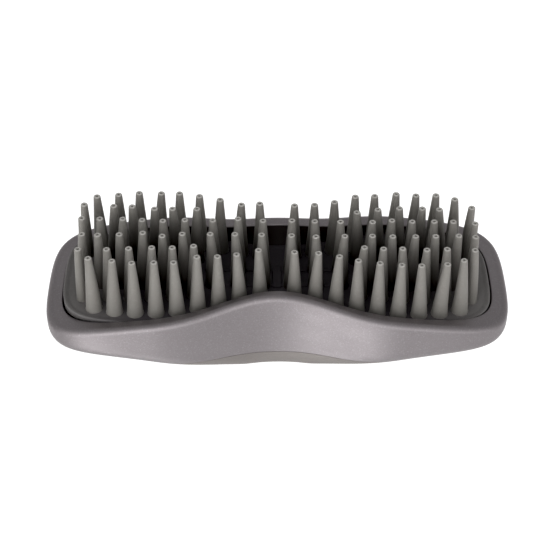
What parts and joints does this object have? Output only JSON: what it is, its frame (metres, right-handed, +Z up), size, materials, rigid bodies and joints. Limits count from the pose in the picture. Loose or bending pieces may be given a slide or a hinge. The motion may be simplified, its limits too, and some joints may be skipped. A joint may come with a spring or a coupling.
{
  "type": "curry comb",
  "caption": "Palm-held curry comb: waisted rigid body with a raised rim, soft rubber mat of tall tapered fingers and a rounded soft-touch palm side.",
  "frame": {"origin": "middle of the flat land on the palm side, which the comb rests on with its fingers up", "axes": "+Z up towards the finger tips, X along the comb from end to end, Y across it at the waist"},
  "size_m": [0.17, 0.0628, 0.0519],
  "materials": {
    "shell": "satin pewter-grey metallic coat on moulded plastic",
    "rubber": "matte warm grey soft rubber",
    "grip": "fine-grained soft-touch skin, warm grey",
    "inner_plastic": "dark grey moulded plastic",
    "screw": "zinc-plated steel"
  },
  "bodies": {
    "root": {"body_shell": "shell", "finger_pad": "rubber", "pad_carrier": "inner_plastic", "palm_cover": "inner_plastic", "palm_grip": "grip", "case_screw_1": "screw", "case_screw_2": "screw", "case_screw_3": "screw", "case_screw_4": "screw", "case_screw_5": "screw", "case_screw_6": "screw"}
  },
  "joints": []
}
